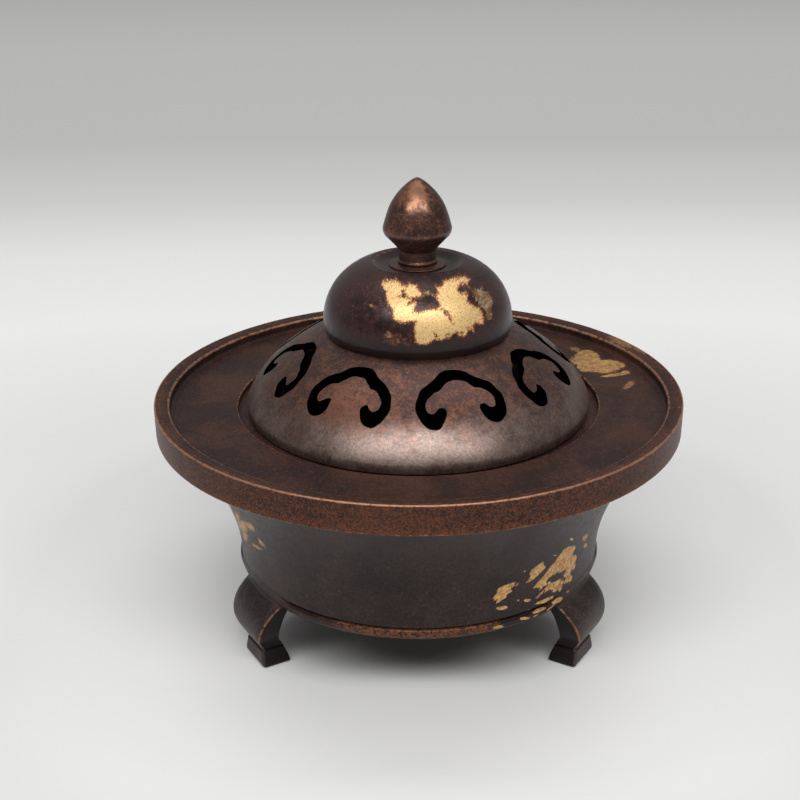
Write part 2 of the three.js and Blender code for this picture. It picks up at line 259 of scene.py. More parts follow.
class Nodes:
    """A node tree, with short ways to add the nodes it is made of."""

    def __init__(self, tree, coordinates="Object"):
        self.tree = tree
        self.place = self.add("TexCoord", {}, coordinates)

    def put(self, socket, value):
        if isinstance(value, bpy.types.NodeSocket):
            self.tree.links.new(value, socket)
        elif isinstance(value, (tuple, list)) and len(value) == 3 and len(socket.default_value) == 4:
            socket.default_value = (*value, 1)
        else:
            socket.default_value = value

    def add(self, kind, inputs, output=0, **settings):
        """Adds a node with some settings and inputs, and gives one of its outputs."""
        node = self.tree.nodes.new("ShaderNode" + kind)
        for name, value in settings.items():
            setattr(node, name, value)
        for name, value in inputs.items():
            self.put(node.inputs[name], value)
        return node.outputs[output]

    def math(self, operation, a, b=0.5, c=0.5):
        return self.add("Math", {0: a, 1: b, 2: c}, operation=operation)

    def plus(self, a, b):
        return self.math("ADD", a, b)

    def times(self, a, b):
        return self.math("MULTIPLY", a, b)

    def scaled(self, a, factor, more):
        """a times a factor, and more added."""
        return self.math("MULTIPLY_ADD", a, factor, more)

    def larger(self, a, b):
        return self.math("MAXIMUM", a, b)

    def noise(self, scale, detail=4.0, roughness=0.55, distortion=0.0, vector=None):
        return self.add("TexNoise", {"Vector": vector or self.place, "Scale": scale, "Detail": detail,
                                     "Roughness": roughness, "Distortion": distortion}, "Fac")

    def ramp(self, value, low, high, to_low=0.0, to_high=1.0):
        return self.add("MapRange", {"Value": value, "From Min": low, "From Max": high, "To Min": to_low,
                                     "To Max": to_high}, "Result", interpolation_type="SMOOTHSTEP")

    def mix(self, factor, a, b):
        """A colour between a and b."""
        return self.add("Mix", {0: factor, 6: a, 7: b}, 2, data_type="RGBA")

    def blend(self, factor, a, b):
        """A number between a and b."""
        return self.add("Mix", {0: factor, 2: a, 3: b}, data_type="FLOAT")

    def shade(self, colour, level):
        """A colour made lighter or darker by a factor."""
        return self.add("VectorMath", {0: colour, "Scale": level}, operation="SCALE")

    def mapping(self, vector, place, size, turn=(0, 0, 0)):
        """Coordinates in which a blob of that place, size and turn is the unit ball."""
        return self.add("Mapping", {"Vector": vector, "Location": place, "Rotation": turn, "Scale": size},
                        vector_type="TEXTURE")

    def length(self, vector):
        return self.add("VectorMath", {0: vector}, "Value", operation="LENGTH")

    def vector(self, x, y, z):
        return self.add("CombineXYZ", {0: x, 1: y, 2: z})

    def axes(self):
        return self.add("SeparateXYZ", {0: self.place}).node.outputs[:]

    def flat(self, a, b):
        """Two coordinates in millimetres."""
        return self.vector(self.times(a, MM_IN_METRE), self.times(b, MM_IN_METRE), 0)

    def from_axis(self):
        """Distance from the upright axis of the burner."""
        x, y, _ = self.axes()
        return self.length(self.vector(x, y, 0))

    def from_blob(self, place, size):
        """Distance from a blob's centre, 1 on its edge."""
        return self.length(self.mapping(self.place, place, size))

    def kept(self, name="wear"):
        """A value kept in the mesh."""
        return self.add("Attribute", {}, "Fac", attribute_name=name)

    def nearest(self, vector, blobs, thick=1e3):
        """Distance to the nearest of some flat blobs, each (x, y, half width, half height, degrees)."""
        result = None
        for x, y, width, height, turn in blobs:
            size, angle = (width, height, thick), math.radians(turn)
            one = self.length(self.mapping(vector, (x, y, 0), size, (0, 0, angle)))
            result = one if result is None else self.math("SMOOTH_MIN", result, one, 0.15)
        return result


class Look(Nodes):
    """A node material."""

    def __init__(self, name, roughness=0.5, metallic=0.0, specular=0.5):
        self.material = bpy.data.materials.new(name)
        self.material.use_nodes = True
        super().__init__(self.material.node_tree)
        self.shader = self.tree.nodes["Principled BSDF"]
        self.shader.inputs["Roughness"].default_value = roughness
        self.shader.inputs["Metallic"].default_value = metallic
        self.shader.inputs["Specular IOR Level"].default_value = specular

    def use(self, colour, roughness, metallic, height, bump=0.1, distance=0.0002):
        inputs = self.shader.inputs
        self.put(inputs["Base Color"], colour)
        if roughness is not None:
            self.put(inputs["Roughness"], roughness)
        if metallic is not None:
            self.put(inputs["Metallic"], metallic)
        self.put(inputs["Normal"],
                 self.add("Bump", {"Height": height, "Strength": bump, "Distance": distance}))
        return self.material


# Most values of a noise lie between these
NOISE_SPAN = (0.3, 0.7)


def patina_finish(name, dark, mid, copper, roughness, metal, specular, cloud=(0.42, 0.60),
                  speck=(0.58, 0.74), grain=2000, contrast=0.35, region=None, wear=0.0,
                  worn=(0.32, 0.13, 0.06), painted_light_and_shade=None, mask=None, gold=None):
    """Brown clouds with fine specks of copper, then layers: a flat painted tone on marked faces (painted
    shade on the legs' sides, painted light on the slot walls), worn edges, a patch given by the caller (a
    rust tint on the dome, painted shade on the cap's foot, copper with a painted highlight on the knob),
    gold leaf.
    """
    look = Look(name, specular=specular)
    fine = look.fine = look.noise(grain, 3, 0.6)
    broken = look.broken = look.noise(grain / 3, 5, 0.7, 0.5)
    clouds = look.times(look.noise(75, 5, 0.6, 0.4), 0.65)
    ground = look.mix(look.ramp(look.plus(clouds, look.times(broken, 0.35)), *cloud), dark, mid)
    specks = look.plus(look.times(fine, 0.55), look.times(broken, 0.45))
    if region:
        specks = look.plus(specks, region(look))
    bare = look.ramp(specks, *speck)
    lightness = look.ramp(fine, *NOISE_SPAN, 1 - contrast, 1 + contrast)
    colour = look.shade(look.mix(bare, ground, copper), lightness)
    shine = look.ramp(bare, 0, 1, *metal)
    rough = look.ramp(broken, *NOISE_SPAN, roughness - 0.05, roughness + 0.07)
    height = look.plus(look.times(fine, 0.6), broken)
    layers = []
    # Faces marked below zero get a flat painted tone: painted shade on the legs, painted light on the slots'
    # walls
    if painted_light_and_shade:
        layers.append((look.ramp(look.kept(), -0.5, -0.05, 1, 0), painted_light_and_shade, 0, 0.5))
    if wear:
        ragged = look.plus(look.times(look.kept(), wear), look.scaled(broken, 1.6, -0.8))
        layers.append((look.ramp(ragged, 0.3, 0.75), worn, 0.75, None))
    if mask:
        layers.append((*mask(look), None))
    if gold:
        layers.append((*gold(look), 0.35, 0.42))
        height = look.scaled(layers[-1][0], 0.5, height)
    for patch, tint, metallic, matt in layers:
        colour = look.mix(patch, colour, tint)
        shine = look.blend(patch, shine, metallic)
        rough = rough if matt is None else look.blend(patch, rough, matt)
    return look.use(colour, rough, shine, height)


GOLD = (0.97, 0.68, 0.31)
GOLD_DEEP = (0.62, 0.35, 0.13)
GOLD_OLD = (0.70, 0.42, 0.165)
GOLD_OLD_DEEP = (0.36, 0.17, 0.06)
GOLD_EDGE = (0.60, 0.26, 0.10)
GOLD_THIN = (0.60, 0.46, 0.26)
GOLD_THIN_DEEP = (0.24, 0.12, 0.06)
GOLD_STAIN = (0.26, 0.075, 0.03)

# Gold on the bowl is placed by its arc round the bowl, taken at this radius, and its height
ARC_RADIUS = 40

# Outlines of gold leaf on the bowl: arc, height
BOWL_LEAF = [
    [(15, 23.8), (15.3, 24.6), (15.9, 25.4), (16.1, 26.4), (17, 26.9), (18.4, 27.1), (19.6, 27),
     (19.9, 26.7), (19.3, 26.3), (20.8, 26.3), (20.4, 25.9), (19, 26), (19.2, 25.2), (19.1, 24.8),
     (18.3, 24.3), (18.3, 23.6), (17.4, 23.5), (16.8, 23.1), (16.1, 23), (15.9, 23.5)],
    [(22.6, 26), (23.2, 26.5), (23.4, 27.2), (23, 28), (23.1, 28.8), (23.8, 29.5), (24.9, 29.8),
     (25.9, 30), (26.2, 29.4), (26.8, 28.6), (27.2, 28.1), (26.8, 27.6), (26, 27.3), (25.3, 26.8),
     (24.8, 26.3), (23.6, 26)],
    [(24.7, 24.1), (25.6, 24.8), (26.6, 25.5), (27.6, 26.3), (28.2, 27.3), (29.2, 28.2), (30.2, 29.6),
     (31.2, 30.8), (32, 31.4), (33.6, 30.8), (35, 30.2), (36.1, 29.4), (35.6, 28.6), (36, 27.8),
     (35.4, 27.5), (36.8, 27), (37.9, 26.3), (38.3, 25.6), (38, 24.7), (38.6, 23.8), (38.2, 22.6),
     (37.2, 23.2), (36.6, 22.9), (37, 22), (37.9, 21.2), (37.8, 20.6), (36.4, 20.6), (35.2, 20.8),
     (34.6, 21.5), (34.1, 20.7), (33.8, 19.9), (33, 19.8), (32.6, 20.4), (31.6, 20.4), (30.4, 20.6),
     (31, 21.2), (29.6, 21.5), (28.4, 21.6), (27.2, 21.2), (25.4, 21), (26.6, 21.7), (27.8, 22),
     (28.8, 22.1), (28, 22.6), (26.2, 22.7), (27, 23.1), (26.2, 23.5), (25.2, 23.5)],
]
# Bare places inside them
BOWL_BARE = [
    [(28.8, 24.8), (30.2, 25.1), (31.8, 25), (33.2, 24.6), (34.8, 24.4), (34.4, 23.8), (33.8, 23.2),
     (32.4, 22.8), (31.2, 23), (30, 23.2), (29.4, 23.7), (28.2, 23.9)],
    [(26.6, 22.6), (28.4, 22.75), (29.8, 22.9), (28.9, 23.3), (27.4, 23)],
    [(33.3, 22.9), (34.2, 23.1), (34.6, 22.6), (35.2, 21.9), (34.6, 21.7), (34, 22.3), (33.2, 22.4)],
]
# Flecks: arc, height, half width, half height, degrees
BOWL_FLECKS = [
    (28.6, 19.5, 2.5, 0.42, -3), (23.6, 21.3, 0.9, 0.3, -15), (17.5, 21.3, 1.1, 0.45, -8),
    (24.1, 18.8, 0.4, 0.2, 0), (26.7, 18.05, 1.6, 0.35, -3), (32.6, 17.9, 2, 0.6, -8),
    (30.4, 17.25, 1.4, 0.25, 8), (23, 17.5, 1.5, 0.32, -16), (16.7, 17.25, 1.1, 0.35, -5),
    (32.6, 33, 0.9, 0.25, -40), (28.9, 30.5, 0.7, 0.12, -28), (36.4, 18.4, 0.4, 0.2, 0),
    (25.8, 17.1, 0.9, 0.15, 0), (21.2, 22.1, 0.25, 0.2, 0), (21.6, 29.2, 0.3, 0.2, 0),
]
BOWL_STREAKS = [
    (-48.5, 33.6, 3.6, 1.7, 30), (-46.2, 35.6, 3.2, 1.3, 20), (-45.6, 30.6, 3.6, 1.3, 40),
    (-42.5, 31.5, 4.8, 1.5, 38), (-44.6, 28.2, 4, 1.1, 38), (-37, 34.6, 2.6, 1.2, 25),
    (-38.8, 28.4, 2.6, 0.5, 10), (-43.4, 33.4, 5, 0.9, 42), (-35.2, 31, 1.1, 1.1, 30),
    (-40, 33.6, 3, 0.9, 35), (39.2, 30.3, 1.7, 0.9, -35), (41.3, 27.2, 1.4, 0.6, -30),
]

# Outlines of gold leaf on the front of the cap: across, height
CAP_LEAF = [
    [(-6.9, 80.9), (-4.4, 81.2), (-2.4, 80.6), (-1.6, 80.75), (-0.2, 80.7), (0.1, 80.1), (0.8, 79.6),
     (0.7, 79.2), (-0.4, 79), (-1, 78.9), (-0.3, 78.2), (-0.6, 77.4), (-0.9, 76.7), (0.2, 76.5),
     (1.2, 76.9), (2.5, 77.1), (4, 77), (4.4, 77.6), (3.8, 78.6), (3.3, 79.3), (4.1, 79.5), (3.6, 80.3),
     (4.6, 80.3), (4.8, 80.9), (6.5, 81.1), (9, 81), (10.3, 80.4), (9.8, 80), (8.4, 80.1), (7.7, 79.7),
     (8.3, 78.9), (9.6, 79), (9.7, 78), (9.8, 77.4), (10.8, 76.7), (12, 76), (12.6, 75.2), (12.9, 74.2),
     (12.9, 72.9), (12, 73.2), (11.3, 73.6), (10.8, 73.1), (11, 71.9), (10.3, 72.8), (9.8, 72.2),
     (9.4, 71.6), (8, 71.7), (7.8, 72.4), (7.2, 72.7), (6.7, 72.2), (6.2, 71.8), (5.1, 71.8), (4.6, 71.4),
     (3.6, 71.7), (3, 71.6), (2.3, 71.1), (1.4, 70.8), (0.3, 70.9), (-0.4, 71.3), (-0.5, 72.4),
     (-0.7, 73.4), (-0.6, 74.4), (-0.3, 75), (-1.3, 75.1), (-2.4, 74.85), (-3.6, 74.9), (-4.7, 75.4),
     (-4.8, 75.9), (-4.7, 76.9), (-5.6, 77.5), (-6, 78.6), (-6.2, 79.6), (-7, 80.3)],
]
CAP_BARE = [
    [(3.2, 72.6), (3.6, 72.6), (3.95, 72.2), (3.7, 72.1)],
    [(5.5, 72.3), (5.9, 72.55), (6.3, 72.4), (6.1, 72.15)],
    [(8.2, 72.4), (8.8, 72.5), (8.8, 72.25), (8.3, 72.15)],
    [(9.8, 73), (10.1, 73), (10.1, 72.5), (9.8, 72.5)],
    [(4.4, 77.1), (5.1, 76.9), (6, 76.2), (6.45, 75.3), (6.8, 74.2), (6.3, 74.9), (5.8, 75.8), (5, 76.4)],
    [(-2, 77.95), (-1.5, 78.4), (-0.9, 78.85), (-0.3, 78.95), (-0.6, 78.4), (-1.2, 78.05)],
    [(-3.7, 79.15), (-3.1, 79.3), (-2.9, 79.9), (-2.3, 80.3), (-2.6, 79.7), (-2.2, 79.2), (-1.3, 79),
     (-2.4, 78.9)],
    [(4.1, 80.75), (4.9, 80.8), (4.8, 80.45), (4.1, 80.5)],
]
# Thin, dull leaf beside it
CAP_LEAF_DULL = [
    [(9.3, 80.2), (10.8, 79.4), (12.4, 79), (13.6, 78.3), (14.7, 77.3), (15.1, 76.4), (14.7, 75),
     (15.1, 73.9), (14.3, 73.1), (13.3, 73.5), (13.2, 74.6), (12.9, 75.5), (12.2, 75.9), (12.1, 76.3),
     (11.3, 77.3), (10.7, 77.9), (10.8, 78.6), (9.8, 79.3)],
    [(0.9, 79.2), (1.2, 79.8), (2.1, 80), (2.8, 79.6), (3.2, 79.1), (2, 78.95)],
    [(-6.6, 72), (-6.4, 73), (-5.7, 73.3), (-5, 73), (-4.8, 72), (-5.6, 71.6)],
    [(-4.4, 71.4), (-3.8, 71.7), (-3.3, 71.5), (-3.4, 70.9), (-4, 70.8)],
    [(-9.9, 77.1), (-9, 77.3), (-8.6, 77), (-9.4, 76.8)],
]

# Gold on the tray: across, back, half width, half height, degrees
TRAY_LEAF = [
    (38.6, 25, 2.6, 3.4, 10), (37.8, 21, 3.2, 4.4, 15), (40.6, 18.4, 4.4, 4.4, 20),
    (43.6, 19.2, 2.3, 3, 25), (43.2, 12.9, 3.3, 0.8, 18), (45.6, 14.4, 1.2, 0.9, 60),
    (36.6, 17.2, 1.2, 2.6, 10),
]
TRAY_LEAF_FAINT = [
    (45.4, 7, 0.8, 2.9, -28), (47.6, 28, 3, 4.6, 32), (50, 22.6, 1.2, 3.2, 24), (36.2, 29, 1, 1.6, 20),
]

# Places and sizes of stains, and of the knob's polished tip with its painted highlight, in metres
DOME_RUST = ((-0.002, -0.028, 0.062), (0.026, 0.016, 0.007))
DOME_RUST_LEFT = ((-0.017, -0.026, 0.059), (0.012, 0.010, 0.006))
CAP_RUST = ((-0.004, -0.014, 0.0775), (0.011, 0.008, 0.0045))
CAP_RUST_UNDER = ((-0.0035, -0.019, 0.0715), (0.0045, 0.004, 0.0016))
KNOB_TIP_COPPER_AND_HIGHLIGHT = ((-0.0006, -0.0035, 0.0965), (0.0038, 0.004, 0.0052))
# Heights and distances from the axis between which a look changes, in metres
DOME_REDDER = (0.0615, 0.0675)
DOME_FOOT_STAIN = (0.0560, 0.0600)
# Painted shade at the foot of the cap, where it meets the dome
CAP_PAINTED_SHADE = (0.0698, 0.0735)
TRAY_WALL_FOOT = (0.0474, 0.0500)
TRAY_LIP = (0.0515, 0.0548)
TRAY_LIP_EDGE = (0.0543, 0.0549)


def old_gold(look):
    return look.mix(look.ramp(look.noise(1100, 5, 0.7, 0.6), 0.38, 0.60), GOLD_OLD_DEEP, GOLD_OLD)


def turn_round(look):
    """The angle round the axis, from the front."""
    x, y, _ = look.axes()
    return look.math("ARCTAN2", x, look.times(y, -1))


def bowl_flecks(look):
    """Small flecks low on the right, and thin slanting streaks at the far left and right."""
    _, _, z = look.axes()
    place = look.vector(look.times(turn_round(look), ARC_RADIUS), look.times(z, MM_IN_METRE), 0)
    ragged = look.noise(0.9, 5, 0.65, 0.3, look.mapping(place, (0, 0, 0), (2.2, 0.8, 1)))
    flecks = look.scaled(ragged, 1.5, look.nearest(place, BOWL_FLECKS))
    strokes = look.noise(1.3, 5, 0.7, 0.3, look.mapping(place, (0, 0, 0), (2.4, 0.5, 1), (0, 0, -0.95)))
    streaks = look.scaled(strokes, 3.6, look.nearest(place, BOWL_STREAKS))
    patch = look.larger(look.ramp(flecks, 1.72, 1.86, 1, 0), look.ramp(streaks, 2.42, 2.8, 0.9, 0))
    return place, patch


def band_gold(look):
    return bowl_flecks(look)[1], old_gold(look)


def bowl_gold(look):
    """The flecks, and the larger leaves whose outlines the mesh keeps."""
    place, flecks = bowl_flecks(look)
    streaks = look.noise(1.0, 5, 0.7, 0.3, look.mapping(place, (0, 0, 0), (1.6, 0.45, 1), (0, 0, 0.6)))
    depth = look.scaled(look.math("SUBTRACT", streaks, 0.5), 2.0, look.kept("leaf"))
    return look.larger(flecks, look.ramp(depth, -0.02, 0.07)), old_gold(look)


def cap_gold(look):
    x, _, z = look.axes()
    place = look.flat(x, z)
    ragged = look.math("SUBTRACT", look.noise(1.6, 6, 0.75, 0.4, place), 0.5)
    flakes = look.math("SUBTRACT", look.noise(3.4, 4, 0.7, 0.8, place), 0.5)
    depth = look.scaled(ragged, 1.3, look.scaled(flakes, 2.0, look.kept("leaf")))
    patch = look.ramp(depth, -0.03, 0.05)
    dull = look.ramp(look.scaled(ragged, 2.6, look.kept("leaf_dull")), 0.0, 0.5, 0, 0.85)
    rim = look.ramp(look.scaled(ragged, 2.0, look.kept("leaf")), -0.5, 0.0, 0, 0.5)
    leaf = look.mix(look.ramp(flakes, -0.16, 0.06), GOLD_DEEP, GOLD)
    gilt = look.mix(look.ramp(depth, 0.05, 0.38), GOLD_EDGE, leaf)
    thin = look.mix(look.ramp(look.broken, 0.42, 0.6), GOLD_THIN_DEEP, GOLD_THIN)
    colour = look.mix(patch, look.mix(dull, GOLD_STAIN, thin), gilt)
    return look.larger(patch, look.larger(dull, rim)), colour


def tray_gold(look):
    x, y, _ = look.axes()
    place = look.flat(x, y)
    ragged = look.noise(0.8, 6, 0.7, 0.4, place)
    patch = look.ramp(look.scaled(ragged, 1.1, look.nearest(place, TRAY_LEAF)), 1.40, 1.62, 0.8, 0)
    thin = look.ramp(look.scaled(ragged, 2.2, look.nearest(place, TRAY_LEAF_FAINT)), 1.8, 2.3, 0.35, 0)
    inside = look.ramp(look.from_axis(), *TRAY_LIP_EDGE, 1, 0)
    return look.times(look.larger(patch, thin), inside), old_gold(look)


def tray_region(look):
    """More copper shows on the upright wall and the lip than on the flat of the tray."""
    out = look.ramp(look.from_axis(), *TRAY_LIP, -0.06, 0.075)
    return look.plus(out, look.ramp(look.axes()[2], *TRAY_WALL_FOOT, 0.10, 0))


def band_region(look):
    """Worn copper between the legs, fading towards them."""
    between = look.math("COSINE", look.times(turn_round(look), 3))
    return look.ramp(between, -0.35, 0.5, -0.3, 0.10)


def dome_region(look):
    """Rust clouds round the slots on the front of the dome, few near its foot."""
    front = look.ramp(look.from_blob(*DOME_RUST), 0.3, 1.7, 0.10, -0.10)
    return look.scaled(look.noise(110, 5, 0.7, 0.6), 0.28, look.math("SUBTRACT", front, 0.15))


def cap_region(look):
    """Rust stains on the upper front of the cap, beside the gold and under it."""
    beside = look.ramp(look.from_blob(*CAP_RUST), 0.4, 1.5, 0.07, -0.03)
    return look.larger(beside, look.ramp(look.from_blob(*CAP_RUST_UNDER), 0.4, 1.3, 0.16, -0.03))


def cap_foot_painted_shade(look):
    """The cap is darkest just above its waist: painted shade, near black and without shine, where it meets
    the dome.
    """
    ragged = look.scaled(look.noise(260, 4, 0.65), 0.0014, look.axes()[2])
    return look.ramp(ragged, *CAP_PAINTED_SHADE, 0.85, 0), (0.012, 0.0065, 0.0065), 0.05


def dome_tint(look):
    """The dome is redder and darker round the slots than towards its foot."""
    ragged = look.scaled(look.noise(180, 4, 0.65, 0.8), 0.012, look.axes()[2])
    rust = look.scaled(look.fine, 0.35, look.times(look.noise(420, 6, 0.75, 0.5), 0.65))
    rust = look.plus(rust, look.ramp(look.from_blob(*DOME_RUST_LEFT), 0.2, 1.3, 0.10, 0.0))
    tint = look.mix(look.ramp(rust, 0.46, 0.60), (0.074, 0.042, 0.039), (0.215, 0.088, 0.052))
    upper = look.ramp(ragged, *DOME_REDDER, 0.15, 0.9)
    return look.larger(upper, look.ramp(ragged, *DOME_FOOT_STAIN, 0.6, 0)), tint, 0.78


def knob_tip_copper_and_highlight(look):
    """Polished copper on the tip of the bud, and a painted highlight of the same copper down its front."""
    near = look.from_blob(*KNOB_TIP_COPPER_AND_HIGHLIGHT)
    ragged = look.scaled(look.noise(700, 6, 0.8, 0.6), 4.0, look.scaled(look.fine, 1.6, near))
    return look.ramp(ragged, 3.1, 3.9, 0.75, 0), (0.37, 0.18, 0.10), 0.85


def plain_finish(name, dark, light, roughness, metallic, grain=900, bump=0.1):
    look = Look(name, roughness, metallic)
    fine = look.noise(grain, 4)
    both = look.scaled(fine, 0.5, look.times(look.noise(grain / 8, 4), 0.5))
    colour = look.mix(look.ramp(both, 0.35, 0.65), dark, light)
    rough = look.ramp(both, *NOISE_SPAN, roughness - 0.05, roughness + 0.08)
    return look.use(colour, rough, None, fine, bump)


body_patina = patina_finish(
    "body_patina", (0.021, 0.0127, 0.0125), (0.037, 0.0215, 0.0195), (0.11, 0.045, 0.03),
    0.36, (0.0, 0.3), 0.19, contrast=0.3, gold=bowl_gold)
# The legs' sides and inner faces get near-black painted shade
leg_patina = patina_finish(
    "leg_patina", (0.032, 0.0225, 0.0225), (0.061, 0.040, 0.036), (0.15, 0.065, 0.04),
    0.36, (0.0, 0.3), 0.16, speck=(0.62, 0.76), wear=0.62, worn=(0.34, 0.15, 0.07),
    painted_light_and_shade=(0.012, 0.008, 0.008), gold=band_gold)
band_patina = patina_finish(
    "band_patina", (0.016, 0.009, 0.008), (0.040, 0.018, 0.011), (0.140, 0.055, 0.027),
    0.42, (0.05, 0.4), 0.2, speck=(0.50, 0.64), region=band_region, wear=0.4, gold=band_gold)
rim_patina = patina_finish(
    "rim_patina", (0.029, 0.0155, 0.0140), (0.060, 0.026, 0.019), (0.135, 0.048, 0.023),
    0.40, (0.0, 0.3), 0.13, speck=(0.48, 0.76), grain=2900, contrast=0.28, region=tray_region, wear=0.9,
    worn=(0.44, 0.22, 0.135), gold=tray_gold)
# The slots' cut walls and the dome's inner side get a lighter brown of painted light
lid_patina = patina_finish(
    "lid_patina", (0.155, 0.100, 0.084), (0.275, 0.207, 0.178), (0.32, 0.13, 0.07),
    0.375, (0.8, 0.75), 0.5, cloud=(0.36, 0.62), speck=(0.56, 0.74), contrast=0.2, region=dome_region,
    wear=0.7, worn=(0.46, 0.34, 0.28), painted_light_and_shade=(0.34, 0.235, 0.20), mask=dome_tint)
cap_patina = patina_finish(
    "cap_patina", (0.027, 0.0145, 0.0142), (0.060, 0.029, 0.025), (0.20, 0.072, 0.035),
    0.32, (0.35, 0.5), 0.4, contrast=0.25, region=cap_region, wear=0.6, worn=(0.45, 0.19, 0.09),
    mask=cap_foot_painted_shade, gold=cap_gold)
knob_patina = patina_finish(
    "knob_patina", (0.070, 0.036, 0.031), (0.175, 0.088, 0.072), (0.30, 0.115, 0.058),
    0.34, (0.7, 0.8), 0.5, cloud=(0.38, 0.66), speck=(0.51, 0.66), contrast=0.2, wear=0.6, mask=knob_tip_copper_and_highlight)
brass = plain_finish("brass", (0.42, 0.26, 0.09), (0.62, 0.41, 0.16), 0.32, 0.9)
steel = plain_finish("steel", (0.30, 0.30, 0.31), (0.48, 0.48, 0.49), 0.35, 0.95)
mineral = plain_finish("mineral", (0.50, 0.47, 0.42), (0.72, 0.70, 0.64), 0.95, 0.0, 1600, 0.8)

for node, material in {"lid_ring": lid_patina, "knob_stud": steel, "knob_washer": brass, "knob_nut": brass,
                       "incense_stand": brass}.items():
    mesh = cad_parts[node].data
    mesh.materials.clear()
    mesh.materials.append(material)


# Bowl, band and tray

BOWL_TUCK = 0.5
BOWL_ROWS = 72
BOWL_INNER_ROWS = 30
# Leaf lies on this stretch of the bowl, and on its outer side
BOWL_LEAF_ARC = (13, 40.5)
BOWL_LEAF_HEIGHT = (18.7, 33)
OUTER_SIDE = 0.5
# The band's section between the legs, and where a leg meets it
BAND_APART = [
    (34.8, 16.3), (38.35, 16.3, 0.3, 0.3), (38.7, 16.75, 0.3), (39, 18, 0.4, 0.3),
    (38.6, 18.5, 0.35, 0.4), (37.4, 18.5), (37.1, 18.78), (34.8, 18.78),
]
BAND_JOINED = [
    (34.8, 16.3), (38.35, 16.3, 0.3), (38.46, 16.75, 0.3), (38.58, 18.2, 0.4), (38.64, 19.6, 0.35),
    (37.4, 19.6), (37.1, 19.6), (34.8, 19.6),
]
BAND_AROUND = 288


def bowl_radius(height):
    t = (height - BOWL_BOTTOM) / (BOWL_TOP - BOWL_BOTTOM)
    return BOWL_FOOT_RADIUS + BOWL_FLARE * t * t


def bowl_leaf(x, y, z):
    arc = math.atan2(x, -y) * ARC_RADIUS
    in_reach = BOWL_LEAF_ARC[0] < arc < BOWL_LEAF_ARC[1] and BOWL_LEAF_HEIGHT[0] < z < BOWL_LEAF_HEIGHT[1]
    if not in_reach or math.hypot(x, y) < bowl_radius(z) - OUTER_SIDE:
        return -LEAF_REACH
    return leaf_depth(arc, z, BOWL_LEAF, BOWL_BARE)


def make_bowl():
    top = BOWL_TOP + BOWL_TUCK
    low = BOWL_FLOOR + 2.5
    outer = [(bowl_radius(h), h) for h in
             (BOWL_BOTTOM + (top - BOWL_BOTTOM) * i / BOWL_ROWS for i in range(1, BOWL_ROWS + 1))]
    inner = [(bowl_radius(h) - BOWL_WALL, h) for h in
             (top + (low - top) * i / BOWL_INNER_ROWS for i in range(BOWL_INNER_ROWS + 1))]
    corners = [(0, BOWL_BOTTOM), (BOWL_FOOT_RADIUS, BOWL_BOTTOM, 0.35, 0.2), *outer, *inner,
               (bowl_radius(BOWL_FLOOR) - BOWL_WALL, BOWL_FLOOR, 2.0), (0, BOWL_FLOOR)]
    piece = turned("bowl_shell", rounded(corners, closed=False), closed=False,
                   angles=closer_angles(192, 18, 58, 4), leaf={"leaf": bowl_leaf})
    finish_piece(piece, "body", body_patina, "bowl")


def leg_nearness(angle):
    """1 in front of a leg, 0 between the legs; the angle is measured from +X."""
    azimuth = angle + math.pi / 2
    return ease(-math.cos(3 * azimuth), 0.55, 0.88)


def make_band():
    apart, joined = rounded(BAND_APART, 4), rounded(BAND_JOINED, 4)
    corners, wears = [], []
    for j in range(BAND_AROUND):
        angle = 2 * math.pi * j / BAND_AROUND
        near = leg_nearness(angle)
        for a, b in zip(apart, joined):
            radius = a[0] + (b[0] - a[0]) * near
            height = a[1] + (b[1] - a[1]) * near
            corners.append((radius * math.cos(angle), radius * math.sin(angle), height))
            wears.append(a[3] * (1 - near))
    rings = [[j * len(apart) + i for i in range(len(apart))] for j in range(BAND_AROUND)]
    piece = new_piece("base_ring", corners, bridged(rings, flip=True, loop=True), {"wear": wears})
    finish_piece(piece, "body", band_patina, "base_band")


def make_tray():
    corners = [
        (33.0, 47.7, 0.25), (54.9, 47.7, 0.45, 0.5), (55.0, 53.95, 0.85, 0.85), (54.0, 53.8, 0.4, 0.3),
        (51.8, 53.6, 0.6, 0.7), (51.8, 51.5, 0.8), (37.8, 51.5, 0.35, 0.6), (37.8, 50.1, 0.25),
        (33.0, 50.1, 0.3),
    ]
    piece = turned("tray", rounded(corners, 6), 320)
    finish_piece(piece, "body", rim_patina, "rim_tray")


# Legs: distances from the axis and half widths, each with its height

LEG_OUTER = [(38.3, 16), (40.2, 14.2), (41.5, 12.2), (42.0, 9.8), (41.7, 7.6), (40.7, 5.6), (39.8, 4.2)]
LEG_INNER = [(34.7, 16), (36.0, 13.6), (36.8, 11.0), (37.0, 8.6), (36.4, 6.4), (35.3, 4.4), (34.4, 2.2),
             (33.8, 0)]
LEG_WIDTH = [(8.1, 16), (7.9, 14), (7.5, 12), (7.0, 10), (6.3, 8.4), (5.2, 6.9), (4.2, 5.5), (3.6, 4.2)]
PAD_OUTER = [(40.1, 3.4), (40.2, 0.6), (39.8, 0)]
PAD_WIDTH = [(3.95, 3.4), (4.6, 0.8), (4.3, 0)]
LEG_TOP = 16
LEG_FOOT = 4.0
PAD_TOP = 3.8
PAD_EDGE = 3.4
# Rounding of the long edges and of the sole's edge
LEG_ROUND = 0.55
SOLE_ROUND = 0.35
# The front bows back towards its sides, most at the top
LEG_BOW = 0.9
LEG_TOP_HALF = 8.1
# A groove parts the leg from its pad: height, half height, depth
GROOVE = (3.86, 0.16, 0.22)
LEG_EDGE_WEAR = 0.9
PAD_EDGE_WEAR = 0.35
